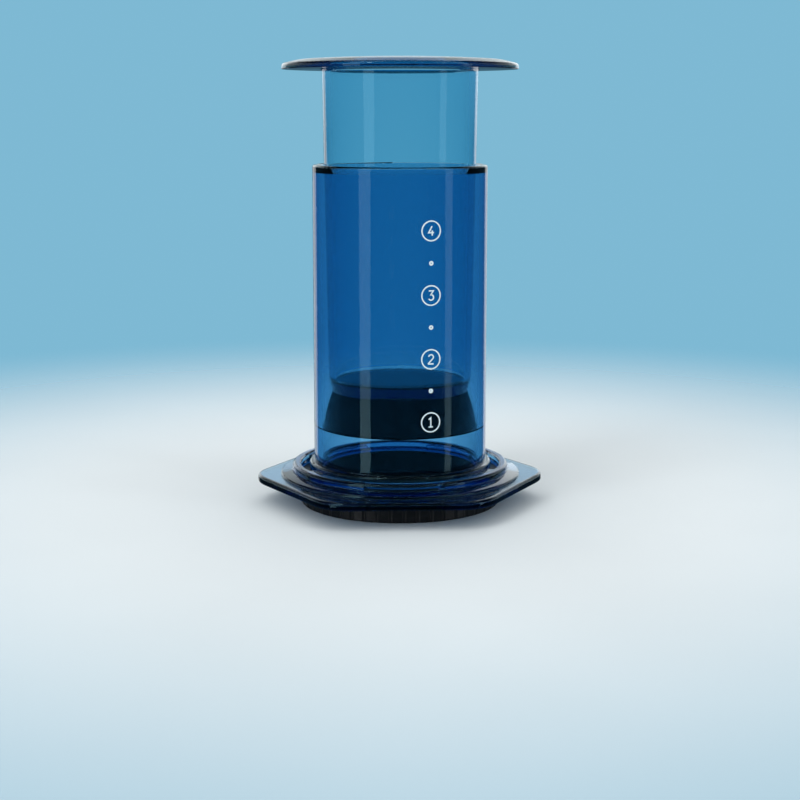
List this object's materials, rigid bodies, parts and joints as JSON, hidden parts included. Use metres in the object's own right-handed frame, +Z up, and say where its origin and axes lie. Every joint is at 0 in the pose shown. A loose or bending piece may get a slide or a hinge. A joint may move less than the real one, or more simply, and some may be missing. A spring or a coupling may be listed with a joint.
{
  "type": "manual coffee press",
  "caption": "Hand coffee press: clear tube on a six-sided plate, clear hollow plunger with a rubber seal, and a twist-off perforated black filter cap with a paper disc.",
  "frame": {"origin": "middle of the filter cap's resting face, at the bottom of the whole part", "axes": "+Z up along the tube and the plunger's travel, -Y to the front flat of the six-sided plate, X through its left and right corners"},
  "size_m": [0.1098, 0.0996, 0.1686],
  "materials": {
    "chamber_plastic": "clear polished plastic with a blue-grey tint, printed with a plain white scale",
    "plunger_plastic": "clear polished plastic with a light blue-grey tint",
    "seal_rubber": "smooth black rubber, slightly soft sheen",
    "cap_plastic": "satin black moulded plastic",
    "filter_paper": "thin creped filter paper, darkened by coffee"
  },
  "bodies": {
    "brew_chamber": {"chamber": "chamber_plastic"},
    "plunger_unit": {"plunger": "plunger_plastic", "plunger_seal": "seal_rubber"},
    "cap_unit": {"filter_cap": "cap_plastic", "paper_filter": "filter_paper"}
  },
  "joints": [
    {"name": "plunger_slide", "type": "slide", "parent": "brew_chamber", "child": "plunger_unit", "axis": [0, 0, 1], "range_m": [-0.0253, 0.11]},
    {"name": "cap_twist", "type": "hinge", "parent": "brew_chamber", "child": "cap_unit", "pos_m": [0, 0, 0.0075], "axis": [0, 0, 1], "range_deg": [-45, 0]}
  ]
}
